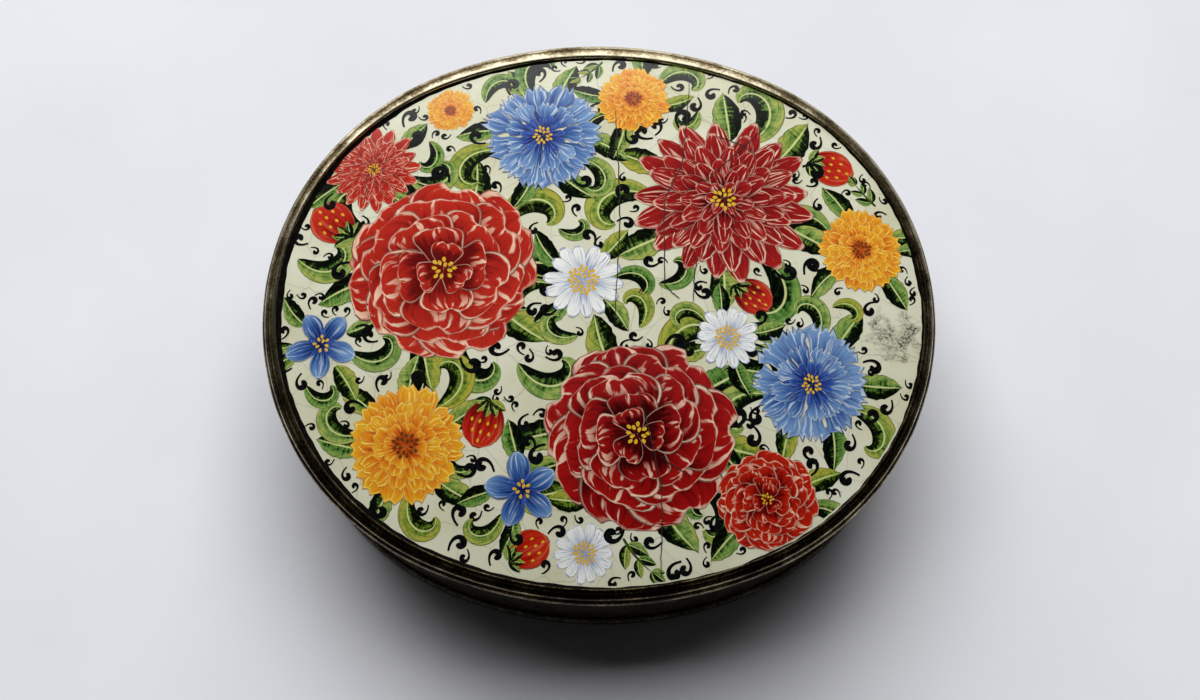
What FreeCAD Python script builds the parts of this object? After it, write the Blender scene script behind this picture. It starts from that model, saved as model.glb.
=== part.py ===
"""Oval keepsake box: enamelled copper plaque in a reeded metal lid, hinged to a straight-sided base.

Millimetres. Z is up, the table is z = 0, the long axis lies along X and the hinge is at the back, +Y.
Every oval in the box is the lid's outer rim line drawn in by some inset, so an inset of nought is the
widest line of the box. Heights of lid pieces are taken from the joint between lid and base.
"""
import FreeCAD
import Part
import math
import os
import PartDesign
import Sketcher

CELLS = [
    ("rim_length", 85.0, "widest line of the lid, end to end"),
    ("rim_width", 74.0, "widest line of the lid, front to back"),
    ("end_curve_share", 0.69, "end arc's radius, from an ellipse's at 0 to half the width at 1"),
    ("parting_height", 21.5, "table to the joint between base and lid"),
    ("parting_gap", 0.1, "open joint between base and lid"),
    ("lid_clearance", 0.3, "collar to the lid's seat frame, all round"),
    ("solder_film", 0.03, "between soldered pieces"),
    ("fuse_film", 0.01, "between enamel and copper"),
    ("overrun", 2.0, "how far a cut runs past what it cuts"),
    ("wall_inset", 2.6, "rim line to the wall's outer face"),
    ("wall_sheet", 0.8, "wall thickness"),
    ("foot_height", 1.2, "height of the foot rim"),
    ("foot_reach", 0.6, "foot rim past the wall"),
    ("foot_bevel", 0.45, "bevel of the foot rim's upper edge"),
    ("foot_shelf", 1.2, "foot rim's flat top, wall's outer face to inner edge"),
    ("floor_ledge", 0.6, "foot rim's ledge under the bottom plate"),
    ("floor_sheet", 0.6, "bottom plate thickness"),
    ("base_rim_height", 2.2, "height of the base's bevelled rim"),
    ("base_rim_inset", 0.9, "rim line to the base rim's outer face"),
    ("base_rim_bevel", 0.6, "bevel of the base rim's two outer edges"),
    ("collar_sheet", 0.6, "collar thickness"),
    ("collar_rise", 1.2, "collar above the joint"),
    ("collar_depth", 3.0, "collar below the joint"),
    ("lower_reed_height", 1.0, "lower reed of the lid's moulding"),
    ("lower_reed_bulge", 0.15, "swell of the lower reed"),
    ("reed_step", 0.36, "upper reed's foot inside the lower reed's"),
    ("reed_rise", 0.3, "height of the step between the two reeds"),
    ("upper_reed_height", 0.7, "upper reed of the lid's moulding"),
    ("upper_reed_bulge", 0.1, "swell of the upper reed"),
    ("moulding_width", 1.02, "rim line to the moulding's inner face"),
    ("moulding_slope", 0.3, "rise of the moulding's flat top band"),
    ("strip_sheet", 0.35, "thickness of the setting strip"),
    ("strip_bevel", 0.3, "bevelled outer shoulder of the setting strip"),
    ("lip_reach", 0.35, "setting strip's lip past its inner face"),
    ("lip_sheet", 0.35, "thickness of the lip"),
    ("lip_slant", 0.2, "slant of the lip's nose"),
    ("lip_lift", 0.14, "lip's underside above the plaque's edge"),
    ("plaque_play", 0.05, "setting strip to the plaque's edge"),
    ("plaque_edge_rise", 2.3, "plaque's edge above the joint"),
    ("dome_rise", 4.2, "crown of the plaque above its edge"),
    ("face_enamel", 0.4, "thickness of the painted enamel"),
    ("copper_sheet", 0.6, "thickness of the copper with the enamel on its underside"),
    ("seat_depth", 1.3, "seat frame's top below the plaque's edge at the ends"),
    ("knuckle_radius", 0.9, "outside of the hinge knuckles"),
    ("knuckle_length", 3.2, "length of one knuckle"),
    ("knuckle_gap", 0.1, "between neighbouring knuckles"),
    ("knuckle_clearance", 0.2, "lid knuckles to the floor of the hinge notch"),
    ("hinge_drop", 1.0, "hinge axis below the joint"),
    ("notch_play", 0.2, "hinge notch past the outer knuckles"),
    ("pin_radius", 0.4, "hinge pin"),
    ("pin_clearance", 0.05, "hinge pin in the lid's knuckles, radial"),
    ("pin_film", 0.01, "hinge pin in the base's knuckles, radial"),
    ("pin_chamfer", 0.12, "broken edge of the pin's ends"),
]
BASE_KNUCKLES = {"left": -2, "middle": 0, "right": 2}
LID_KNUCKLES = {"left": -1, "right": 1}
FULL_TURN = 360
PATH_EDGES = ["Edge1", "Edge2", "Edge3", "Edge4", "Edge5"]

doc = FreeCAD.newDocument("oval_box")
sheet = doc.addObject("Spreadsheet::Sheet", "Sizes")


class Size:
    """A size that follows the sheet: an expression over its cells, with the value it has now."""

    def __init__(self, text, value):
        self.text = text
        self.value = value

    def __add__(self, other):
        return Size(f"({self.text} + {other.text})", self.value + other.value)

    def __sub__(self, other):
        return Size(f"({self.text} - {other.text})", self.value - other.value)

    def __mul__(self, other):
        other = as_size(other)
        return Size(f"({self.text} * {other.text})", self.value * other.value)

    def __truediv__(self, other):
        other = as_size(other)
        return Size(f"({self.text} / {other.text})", self.value / other.value)

    def __neg__(self):
        return Size(f"(0 - {self.text})", -self.value)


def as_size(number):
    """A plain count or share as a Size, so that sums can mix both."""
    return number if isinstance(number, Size) else Size(str(number), number)


def root(size):
    """Square root that follows the sheet."""
    return Size(f"sqrt({size.text})", math.sqrt(size.value))


def rise_radius(half_chord, rise):
    """Radius of the arc that stands `rise` high on a chord of twice `half_chord`."""
    return (half_chord * half_chord + rise * rise) / (rise * 2)


def fill_sheet():
    """Write the cells and give each one back as a Size under its alias."""
    sizes = {}
    for row, (alias, value, meaning) in enumerate(CELLS, 1):
        sheet.set(f"A{row}", meaning)
        sheet.set(f"B{row}", str(value))
        sheet.setAlias(f"B{row}", alias)
        sizes[alias] = Size(f"Sizes.{alias}", value)
    doc.recompute()
    return sizes


S = fill_sheet()
NOUGHT = as_size(0)
HALF_LENGTH = S["rim_length"] / 2
HALF_WIDTH = S["rim_width"] / 2
ELLIPSE_END = HALF_WIDTH * HALF_WIDTH / HALF_LENGTH
END_RADIUS = ELLIPSE_END + (HALF_WIDTH - ELLIPSE_END) * S["end_curve_share"]
END_CENTRE = HALF_LENGTH - END_RADIUS
FLANK_RADIUS = (END_CENTRE * END_CENTRE + HALF_WIDTH * HALF_WIDTH - END_RADIUS * END_RADIUS) / (
    (HALF_WIDTH - END_RADIUS) * 2)
FLANK_CENTRE = FLANK_RADIUS - HALF_WIDTH


def new_body(node):
    """An empty body whose label is the node's name."""
    body = doc.addObject("PartDesign::Body", node)
    body.Label = node
    return body


def new_sketch(body, word, role, **shift):
    """A sketch on one of the body's own planes, shifted in the sketch's own x, y or z."""
    sketch = body.newObject("Sketcher::SketchObject", f"{body.Label}_{word}")
    plane = [feature for feature in body.Origin.OriginFeatures if feature.Role == role][0]
    sketch.AttachmentSupport = (plane, [""])
    sketch.MapMode = "FlatFace"
    for axis, size in shift.items():
        sketch.setExpression(f"AttachmentOffset.Base.{axis}", size.text)
    return sketch


def add_edge(sketch, start, end, bend):
    """Add a line, or an arc of a given radius whose centre is left (+1) or right (-1) of the way along.

    Gives back the edge's number and which of its points are first and last on the way along.
    """
    first = FreeCAD.Vector(start[0].value, start[1].value, 0)
    last = FreeCAD.Vector(end[0].value, end[1].value, 0)
    if bend is None:
        return sketch.addGeometry(Part.LineSegment(first, last), False), 1, 2
    radius, side = bend
    half = (last - first) * 0.5
    left = FreeCAD.Vector(-half.y, half.x, 0).normalize()
    centre = first + half + left * (side * math.sqrt(max(radius.value ** 2 - half.Length ** 2, 0)))
    ends = (first, last) if side > 0 else (last, first)
    angles = [math.atan2(point.y - centre.y, point.x - centre.x) for point in ends]
    if angles[1] <= angles[0]:
        angles[1] += 2 * math.pi
    circle = Part.Circle(centre, FreeCAD.Vector(0, 0, 1), radius.value)
    number = sketch.addGeometry(Part.ArcOfCircle(circle, angles[0], angles[1]), False)
    return (number, 1, 2) if side > 0 else (number, 2, 1)


def bind(sketch, label, constraint, size):
    """Add a constraint and let it follow a size."""
    index = sketch.addConstraint(constraint)
    sketch.renameConstraint(index, label)
    sketch.setExpression(f"Constraints.{label}", size.text)


def outline(sketch, corners):
    """Draw one closed loop. A corner is (x, y, bend), and bend shapes the edge that leaves it."""
    count = len(corners)
    edges = [add_edge(sketch, corners[i], corners[(i + 1) % count], corners[i][2]) for i in range(count)]
    for i, (edge, first, last) in enumerate(edges):
        following, following_first = edges[(i + 1) % count][:2]
        sketch.addConstraint(Sketcher.Constraint("Coincident", edge, last, following, following_first))
    for (edge, first, last), (x, y, bend) in zip(edges, corners):
        bind(sketch, f"x_{edge}", Sketcher.Constraint("DistanceX", -1, 1, edge, first, x.value), x)
        bind(sketch, f"y_{edge}", Sketcher.Constraint("DistanceY", -1, 1, edge, first, y.value), y)
        if bend is not None:
            bind(sketch, f"radius_{edge}", Sketcher.Constraint("Radius", edge, bend[0].value), bend[0])


def open_arc(sketch, start, end, radius):
    """Draw one arc from start to end that bulges to the left of the way along."""
    edge, first, last = add_edge(sketch, start, end, (radius, -1))
    for label, kind, point, size in (
            ("start_x", "DistanceX", first, start[0]), ("start_y", "DistanceY", first, start[1]),
            ("end_x", "DistanceX", last, end[0]), ("end_y", "DistanceY", last, end[1])):
        bind(sketch, label, Sketcher.Constraint(kind, -1, 1, edge, point, size.value), size)
    bind(sketch, "radius", Sketcher.Constraint("Radius", edge, radius.value), radius)


def oval_corners(inset):
    """The rim line drawn in by `inset`: two end arcs and two flank arcs that meet in tangency."""
    end = (END_RADIUS - inset, 1)
    flank = (FLANK_RADIUS - inset, 1)
    reach_share = (END_RADIUS - inset) / (FLANK_RADIUS - END_RADIUS)
    x = END_CENTRE + END_CENTRE * reach_share
    y = FLANK_CENTRE * reach_share
    return [(HALF_LENGTH - inset, NOUGHT, end), (x, y, flank), (-x, y, end), (-x, -y, flank), (x, -y, end)]


def round_corners(x, y, radius):
    """A full circle as four quarter arcs."""
    bend = (radius, 1)
    return [(x + radius, y, bend), (x, y + radius, bend), (x - radius, y, bend), (x, y - radius, bend)]


def add_pad(body, sketch, length, midplane=False):
    """Pad a sketch by a length, to one side or to both."""
    pad = body.newObject("PartDesign::Pad", f"{sketch.Label}_pad")
    pad.Profile = sketch
    pad.setExpression("Length", length.text)
    if midplane:
        pad.SideType = "Symmetric"
    doc.recompute()
    return pad


def band(node, outer, inner, bottom, height):
    """An upright oval band between two insets."""
    body = new_body(node)
    sketch = new_sketch(body, "outline", "XY_Plane", z=bottom)
    outline(sketch, oval_corners(outer))
    if inner is not None:
        outline(sketch, oval_corners(inner))
    add_pad(body, sketch, height)
    return body


def moulding(node, section):
    """Sweep a section round the rim line. A section's corner is (inset, height, bend)."""
    body = new_body(node)
    path = new_sketch(body, "path", "XY_Plane")
    outline(path, oval_corners(NOUGHT))
    profile = new_sketch(body, "section", "XZ_Plane")
    outline(profile, [(HALF_LENGTH - inset, height, bend) for inset, height, bend in section])
    doc.recompute()
    sweep = body.newObject("PartDesign::AdditivePipe", f"{node}_sweep")
    sweep.Profile = profile
    sweep.Spine = (path, PATH_EDGES)
    doc.recompute()
    return body


# heights and insets that several pieces share
PARTING = S["parting_height"]
LID_BOTTOM = PARTING + S["parting_gap"]
COLLAR_INSET = S["wall_inset"] + S["wall_sheet"] + S["solder_film"]
SEAT_INNER = COLLAR_INSET - S["lid_clearance"]
STRIP_OUTER = S["moulding_width"] + S["solder_film"]
STRIP_INNER = STRIP_OUTER + S["strip_sheet"]
PLAQUE_INSET = STRIP_INNER + S["plaque_play"]
PLAQUE_EDGE = PARTING + S["plaque_edge_rise"]
CROWN = PLAQUE_EDGE + S["dome_rise"]
FLOOR_INSET = S["wall_inset"] + S["foot_shelf"]
HINGE_Y = HALF_WIDTH - S["knuckle_radius"]
HINGE_Z = PARTING - S["hinge_drop"]
NOTCH_Y = HINGE_Y - S["knuckle_radius"] - S["knuckle_clearance"]
PITCH = S["knuckle_length"] + S["knuckle_gap"]
HINGE_LENGTH = PITCH * (len(BASE_KNUCKLES) + len(LID_KNUCKLES)) - S["knuckle_gap"]


def foot_rim():
    """Bevelled foot moulding with a flat underside and a ledge for the bottom plate."""
    outer = S["wall_inset"] - S["foot_reach"]
    ledge_height = S["foot_height"] - S["floor_sheet"]
    ledge_inset = FLOOR_INSET + S["floor_ledge"]
    return moulding("foot_rim", [
        (ledge_inset, NOUGHT, None),
        (outer, NOUGHT, None),
        (outer, S["foot_height"] - S["foot_bevel"], None),
        (outer + S["foot_bevel"], S["foot_height"], None),
        (FLOOR_INSET, S["foot_height"], None),
        (FLOOR_INSET, ledge_height, None),
        (ledge_inset, ledge_height, None),
    ])


def base_rim():
    """Bevelled rim under the joint, notched at the back for the hinge."""
    bottom = PARTING - S["base_rim_height"]
    back = S["wall_inset"] - S["solder_film"]
    outer = S["base_rim_inset"]
    bevel = S["base_rim_bevel"]
    body = moulding("base_rim", [
        (back, bottom, None),
        (outer + bevel, bottom, None),
        (outer, bottom + bevel, None),
        (outer, PARTING - bevel, None),
        (outer + bevel, PARTING, None),
        (back, PARTING, None),
    ])
    half_notch = HINGE_LENGTH / 2 + S["notch_play"]
    far = HALF_WIDTH + S["overrun"]
    sketch = new_sketch(body, "notch", "XY_Plane", z=PARTING + S["overrun"])
    outline(sketch, [
        (-half_notch, NOTCH_Y, None),
        (half_notch, NOTCH_Y, None),
        (half_notch, far, None),
        (-half_notch, far, None),
    ])
    notch = body.newObject("PartDesign::Pocket", "base_rim_hinge_notch")
    notch.Profile = sketch
    notch.setExpression("Length", (S["base_rim_height"] + S["overrun"] * 2).text)
    doc.recompute()
    return body


def lid_moulding():
    """Two reeds with a step between them; the upper one is set back and carries a sloped flat band."""
    lower_top = LID_BOTTOM + S["lower_reed_height"]
    upper_bottom = lower_top + S["reed_rise"]
    upper_top = upper_bottom + S["upper_reed_height"]
    upper_inset = S["lower_reed_bulge"] + S["reed_step"]
    lower_radius = rise_radius(S["lower_reed_height"] / 2, S["lower_reed_bulge"])
    upper_radius = rise_radius(S["upper_reed_height"] / 2, S["upper_reed_bulge"])
    return moulding("lid_moulding", [
        (S["moulding_width"], LID_BOTTOM, None),
        (S["lower_reed_bulge"], LID_BOTTOM, (lower_radius, 1)),
        (S["lower_reed_bulge"], lower_top, None),
        (upper_inset, upper_bottom, (upper_radius, 1)),
        (upper_inset, upper_top, None),
        (S["moulding_width"], upper_top + S["moulding_slope"], None),
    ])


def setting_strip():
    """Upright strip round the plaque, its top burnished over the plaque's edge as a lip."""
    lip_under = PLAQUE_EDGE + S["lip_lift"]
    lip_top = lip_under + S["lip_sheet"]
    nose = STRIP_INNER + S["lip_reach"]
    return moulding("setting_strip", [
        (STRIP_OUTER, LID_BOTTOM, None),
        (STRIP_OUTER, lip_top - S["strip_bevel"], None),
        (STRIP_OUTER + S["strip_bevel"], lip_top, None),
        (nose - S["lip_slant"], lip_top, None),
        (nose, lip_under, None),
        (STRIP_INNER, lip_under, None),
        (STRIP_INNER, LID_BOTTOM, None),
    ])


def dome_cut(body, word, depth, above):
    """Cut away what lies above (or under) the dome, taken `depth` below its crown.

    The dome is the arc across the width, carried without turning along the arc of the length.
    """
    length_radius = rise_radius(HALF_LENGTH - PLAQUE_INSET, S["dome_rise"])
    width_radius = rise_radius(HALF_WIDTH - PLAQUE_INSET, S["dome_rise"])
    length_drop = length_radius - root(length_radius * length_radius - HALF_LENGTH * HALF_LENGTH)
    width_drop = width_radius - root(width_radius * width_radius - HALF_WIDTH * HALF_WIDTH)
    start = CROWN - depth - length_drop
    path = new_sketch(body, f"{word}_path", "XZ_Plane")
    open_arc(path, (-HALF_LENGTH, start), (HALF_LENGTH, start), length_radius)
    reach = S["dome_rise"] * 2 + S["overrun"]
    far = start + reach if above else start - reach
    shoulder = start - width_drop
    section = new_sketch(body, f"{word}_section", "YZ_Plane", z=-HALF_LENGTH)
    outline(section, [
        (-HALF_WIDTH, far, None),
        (-HALF_WIDTH, shoulder, (width_radius, -1)),
        (HALF_WIDTH, shoulder, None),
        (HALF_WIDTH, far, None),
    ])
    doc.recompute()
    cut = body.newObject("PartDesign::SubtractivePipe", f"{body.Label}_{word}_cut")
    cut.Profile = section
    cut.Spine = (path, ["Edge1"])
    cut.Mode = "Fixed"
    doc.recompute()


def plaque_layer(node, depth, thickness):
    """One domed layer of the plaque, from `depth` below the painted face to `thickness` further down."""
    body = band(node, PLAQUE_INSET, None, PARTING, CROWN - PARTING + S["overrun"])
    dome_cut(body, "top", depth, True)
    dome_cut(body, "underside", depth + thickness, False)
    return body


def knuckle(node, corners, bore, place):
    """One hinge knuckle: its section padded along the pin, `place` pitches from the middle."""
    body = new_body(node)
    sketch = new_sketch(body, "section", "YZ_Plane", z=PITCH * place)
    outline(sketch, corners)
    outline(sketch, round_corners(HINGE_Y, HINGE_Z, bore))
    add_pad(body, sketch, S["knuckle_length"], True)
    return body


def base_knuckles():
    """Three knuckles, square at the back where they are soldered to the floor of the notch."""
    radius = S["knuckle_radius"]
    bend = (radius, 1)
    back = NOTCH_Y + S["solder_film"]
    corners = [
        (back, HINGE_Z - radius, None),
        (HINGE_Y, HINGE_Z - radius, bend),
        (HINGE_Y + radius, HINGE_Z, bend),
        (HINGE_Y, HINGE_Z + radius, None),
        (back, HINGE_Z + radius, None),
    ]
    bore = S["pin_radius"] + S["pin_film"]
    return [knuckle(f"base_knuckle_{side}", corners, bore, place) for side, place in BASE_KNUCKLES.items()]


def lid_knuckles():
    """Two knuckles, each with a tab up to the underside of the lid."""
    radius = S["knuckle_radius"]
    bend = (radius, 1)
    corners = [
        (HINGE_Y - radius, LID_BOTTOM, None),
        (HINGE_Y - radius, HINGE_Z, bend),
        (HINGE_Y, HINGE_Z - radius, bend),
        (HINGE_Y + radius, HINGE_Z, bend),
        (HINGE_Y, HINGE_Z + radius, None),
        (HINGE_Y, LID_BOTTOM, None),
    ]
    bore = S["pin_radius"] + S["pin_clearance"]
    return [knuckle(f"lid_knuckle_{side}", corners, bore, place) for side, place in LID_KNUCKLES.items()]


def hinge_pin():
    """Plain wire pin with broken edges, turned about the hinge axis."""
    body = new_body("hinge_pin")
    sketch = new_sketch(body, "section", "XY_Plane", y=HINGE_Y, z=HINGE_Z)
    end = HINGE_LENGTH / 2
    broken_end = end - S["pin_chamfer"]
    broken_radius = S["pin_radius"] - S["pin_chamfer"]
    outline(sketch, [
        (-end, NOUGHT, None),
        (end, NOUGHT, None),
        (end, broken_radius, None),
        (broken_end, S["pin_radius"], None),
        (-broken_end, S["pin_radius"], None),
        (-end, broken_radius, None),
    ])
    doc.recompute()
    turn = body.newObject("PartDesign::Revolution", "hinge_pin_turn")
    turn.Profile = sketch
    turn.ReferenceAxis = (sketch, ["H_Axis"])
    turn.Angle = FULL_TURN
    doc.recompute()
    return body


def build():
    """Model every piece and give the bodies back."""
    wall_inside = S["wall_inset"] + S["wall_sheet"]
    floor_bottom = S["foot_height"] - S["floor_sheet"]
    seat_height = S["plaque_edge_rise"] - S["seat_depth"] - S["parting_gap"]
    return [
        band("base_wall", S["wall_inset"], wall_inside, S["foot_height"], PARTING - S["foot_height"]),
        foot_rim(),
        band("bottom_plate", FLOOR_INSET + S["solder_film"], None, floor_bottom, S["floor_sheet"]),
        base_rim(),
        band("collar", COLLAR_INSET, COLLAR_INSET + S["collar_sheet"],
             PARTING - S["collar_depth"], S["collar_depth"] + S["collar_rise"]),
        *base_knuckles(),
        hinge_pin(),
        lid_moulding(),
        setting_strip(),
        band("seat_frame", STRIP_INNER + S["solder_film"], SEAT_INNER, LID_BOTTOM, seat_height),
        plaque_layer("plaque_face", NOUGHT, S["face_enamel"]),
        plaque_layer("plaque_copper", S["face_enamel"] + S["fuse_film"], S["copper_sheet"]),
        *lid_knuckles(),
    ]


def check_and_write(bodies):
    """Stop on any object in error or any bad shape, then write one file for each piece."""
    for item in doc.Objects:
        if {"Invalid", "Error"} & set(item.State):
            raise RuntimeError(f"{item.Label} is in error: {item.State}")
    os.makedirs("parts", exist_ok=True)
    for body in bodies:
        shape = body.Shape
        if shape.isNull() or not shape.isValid() or not shape.Solids:
            raise RuntimeError(f"{body.Label} has no sound solid")
        shape.exportStep(f"parts/{body.Label}.step")
        print(f"{body.Label}: {len(shape.Solids)} solid, {shape.Volume:.1f} mm3, {shape.BoundBox}")


check_and_write(build())
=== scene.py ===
"""Looks of the oval keepsake box: tarnished silver rims round a domed enamel plaque painted with flowers.

Lengths are millimetres in the box's own frame, and each mesh turns them to metres when it is made.
Every oval is the lid's rim line drawn in by an inset, and a turn is the angle of the outward normal.
"""
import math

import bpy
import numpy as np
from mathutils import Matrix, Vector


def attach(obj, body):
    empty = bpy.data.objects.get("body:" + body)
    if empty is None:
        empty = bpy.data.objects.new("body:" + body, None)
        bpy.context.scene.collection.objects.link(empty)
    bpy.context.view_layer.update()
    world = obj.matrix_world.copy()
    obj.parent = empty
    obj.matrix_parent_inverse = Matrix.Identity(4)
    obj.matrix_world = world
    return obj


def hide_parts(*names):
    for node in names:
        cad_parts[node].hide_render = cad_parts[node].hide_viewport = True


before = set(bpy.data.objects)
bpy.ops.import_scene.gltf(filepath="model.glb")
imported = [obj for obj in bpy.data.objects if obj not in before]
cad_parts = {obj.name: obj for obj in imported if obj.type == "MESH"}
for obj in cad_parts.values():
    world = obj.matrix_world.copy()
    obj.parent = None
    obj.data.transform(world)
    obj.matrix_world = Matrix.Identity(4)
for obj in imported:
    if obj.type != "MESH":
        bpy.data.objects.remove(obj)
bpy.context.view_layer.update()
MM = 0.001

# rim line: two end arcs and two flank arcs that meet in tangency
RIM_LENGTH = 85.0
RIM_WIDTH = 74.0
END_CURVE_SHARE = 0.69
HALF_LENGTH = RIM_LENGTH / 2
HALF_WIDTH = RIM_WIDTH / 2
ELLIPSE_END = HALF_WIDTH ** 2 / HALF_LENGTH
END_RADIUS = ELLIPSE_END + (HALF_WIDTH - ELLIPSE_END) * END_CURVE_SHARE
END_CENTRE = HALF_LENGTH - END_RADIUS
FLANK_RADIUS = (END_CENTRE ** 2 + HALF_WIDTH ** 2 - END_RADIUS ** 2) / (2 * (HALF_WIDTH - END_RADIUS))
FLANK_CENTRE = FLANK_RADIUS - HALF_WIDTH
END_SPREAD = math.atan2(FLANK_CENTRE, END_CENTRE)

# painted face: a dome whose crown stands above its oval edge
PLAQUE_INSET = 1.45
PLAQUE_EDGE = 23.8
DOME_RISE = 4.2
CROWN = PLAQUE_EDGE + DOME_RISE
FACE_ENAMEL = 0.4
FUSE_FILM = 0.01
COPPER_SHEET = 0.42
BACK_ENAMEL = 0.17

# how finely meshes are cut, the angle that stays sharp, and the turn across the side of a cut
TURNS = 288
SECTION_STEPS = 5
PLATE_RINGS = 40
SHARP_DEG = 40
CUT = 1e-4


def dome_radius(half_chord):
    """Radius of the arc that stands DOME_RISE high on a chord of twice half_chord."""
    return (half_chord ** 2 + DOME_RISE ** 2) / (2 * DOME_RISE)


LENGTH_ARC = dome_radius(HALF_LENGTH - PLAQUE_INSET)
WIDTH_ARC = dome_radius(HALF_WIDTH - PLAQUE_INSET)
EDGE_SLOPE = (HALF_WIDTH - PLAQUE_INSET) / WIDTH_ARC


def dome(x, y):
    """Height of the painted face: the crown less the drop of one arc along x and of one along y."""
    return (CROWN - LENGTH_ARC + np.sqrt(LENGTH_ARC ** 2 - x ** 2)
            - WIDTH_ARC + np.sqrt(WIDTH_ARC ** 2 - y ** 2))


def oval(inset, turn):
    """Rim line drawn in by inset: an arc's centre plus (its radius less inset) times the normal at turn.

    The normal belongs to an end arc while it leans less than END_SPREAD from the long axis.
    """
    along, across = np.cos(turn), np.sin(turn)
    at_end = np.abs(across) < math.sin(END_SPREAD)
    reach = np.where(at_end, END_RADIUS, FLANK_RADIUS) - inset
    x = np.where(at_end, np.sign(along) * END_CENTRE, 0) + reach * along
    y = np.where(at_end, 0, -np.sign(across) * FLANK_CENTRE) + reach * across
    return x, y


def even_turns(count=TURNS):
    """Equal turns once round."""
    return np.arange(count) * (2 * math.pi / count)


def unevenness(turn, seed):
    """Hand work as a smooth wander between about -1 and 1: a few sines round the oval with set phases."""
    waves = np.array([3, 5, 8, 13, 21, 34])
    phases = np.random.default_rng(seed).uniform(0, 2 * math.pi, len(waves))
    return np.sin(turn[..., None] * waves + phases).sum(-1) / len(waves)


# meshes

def stand(name, data):
    """A new object in the scene."""
    thing = bpy.data.objects.new(name, data)
    bpy.context.scene.collection.objects.link(thing)
    return thing


def make_piece(name, points, face_groups, body, material, replaced=(), brush=None, polish=None):
    """One mesh object from points in mm and arrays of faces, riding on a body."""
    mesh = bpy.data.meshes.new(name)
    corners = np.concatenate([faces.ravel() for faces in face_groups])
    sizes = np.concatenate([np.full(len(faces), faces.shape[1]) for faces in face_groups])
    mesh.vertices.add(len(points))
    mesh.vertices.foreach_set("co", (points * MM).astype(np.float32).ravel())
    mesh.loops.add(len(corners))
    mesh.loops.foreach_set("vertex_index", corners.astype(np.int32))
    mesh.polygons.add(len(sizes))
    mesh.polygons.foreach_set("loop_start", (np.cumsum(sizes) - sizes).astype(np.int32))
    mesh.polygons.foreach_set("use_smooth", np.ones(len(sizes), bool))
    mesh.update(calc_edges=True)
    mesh.set_sharp_from_angle(angle=math.radians(SHARP_DEG))
    if brush is not None:
        layer = mesh.uv_layers.new(name="brush")
        layer.data.foreach_set("uv", brush[corners].astype(np.float32).ravel())
    if polish is not None:
        attribute = mesh.attributes.new("polish", "FLOAT", "POINT")
        attribute.data.foreach_set("value", polish.astype(np.float32))
    mesh.materials.append(material)
    piece = stand(name, mesh)
    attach(piece, body)
    if replaced:
        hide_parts(*replaced)


def grid_faces(grid, wrap_rows=False, wrap_columns=False):
    """Four-sided faces of a grid of point numbers, which may close on itself either way."""
    if wrap_rows:
        grid = np.concatenate([grid, grid[:1]], 0)
    if wrap_columns:
        grid = np.concatenate([grid, grid[:, :1]], 1)
    return np.stack([grid[:-1, :-1], grid[1:, :-1], grid[1:, 1:], grid[:-1, 1:]], -1).reshape(-1, 4)


def unit(vectors):
    """Vectors brought to length one."""
    return vectors / np.linalg.norm(vectors, axis=1, keepdims=True)


def rounded(corners):
    """Closed section with each corner (inset, height, radius, polish) turned to an arc.

    The arc touches both sides of its corner: it swings from the foot of one to the foot of the other
    about the point on the bisector that lies radius / sin(half angle) away.
    """
    table = np.array(corners, float)
    here, radius = table[:, :2], table[:, 2:3]
    before = unit(np.roll(here, 1, 0) - here)
    beyond = unit(np.roll(here, -1, 0) - here)
    half = np.arccos(np.clip((before * beyond).sum(1, keepdims=True), -1, 1)) / 2
    centre = here + unit(before + beyond) * radius / np.sin(half)
    start = here + before * radius / np.tan(half) - centre
    end = here + beyond * radius / np.tan(half) - centre
    swing = math.pi - 2 * half
    share = np.linspace(0, 1, SECTION_STEPS)[None, :, None]
    arc = (np.sin((1 - share) * swing[:, None]) * start[:, None]
           + np.sin(share * swing[:, None]) * end[:, None]) / np.sin(swing[:, None])
    section = (centre[:, None] + arc).reshape(-1, 2)
    return section[:, 0], section[:, 1], np.repeat(table[:, 3], SECTION_STEPS)


def ring(name, corners, body, material, replaced=(), wander=0.015, notch=None, lip=None,
         wear_and_shade=np.ones_like):
    """A section carried round the oval; corners run up the outer side, over the top and down the inside.

    wander is how far hand work leaves the true line, and notch is (turn, half spread, y) of a flat cut.
    lip is (root, crest, extra): from root to crest the section is drawn out, and up the dome, by up to
    extra(turn). wear_and_shade(turn) is the share of the polish that is left, lowered further where it
    paints shade.
    """
    inset, height, polish = rounded(corners)
    turn = even_turns()
    if notch is not None:
        middle, spread, flat = notch
        edges = [middle - spread - CUT, middle - spread, middle + spread, middle + spread + CUT]
        turn = np.sort(np.concatenate([turn, edges]))
    drift = wander * unevenness(turn, len(name))[:, None]
    at_inset = inset[None] + drift
    at_height = height[None] + 0 * drift
    if lip is not None:
        root, crest, extra = lip
        share = np.clip((inset - root) / (crest - root), 0, 1) * (height > PLAQUE_EDGE)
        drawn = share[None] * extra(turn)[:, None]
        at_inset = at_inset + drawn
        at_height = at_height + drawn * EDGE_SLOPE
    x, y = oval(at_inset, turn[:, None])
    if notch is not None:
        inside = np.abs(turn - middle) <= spread
        y = np.where(inside[:, None], np.minimum(y, flat), y)
    points = np.stack([x, y, at_height], -1).reshape(-1, 3)
    grid = np.arange(x.size).reshape(x.shape)
    # polish times wear_and_shade: real wear, and on the lid's rim a painted shade at the front
    polish_and_shade = (polish[None] * wear_and_shade(turn)[:, None]).ravel()
    make_piece(name, points, [grid_faces(grid, True, True)], body, material, replaced, polish=polish_and_shade)


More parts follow.
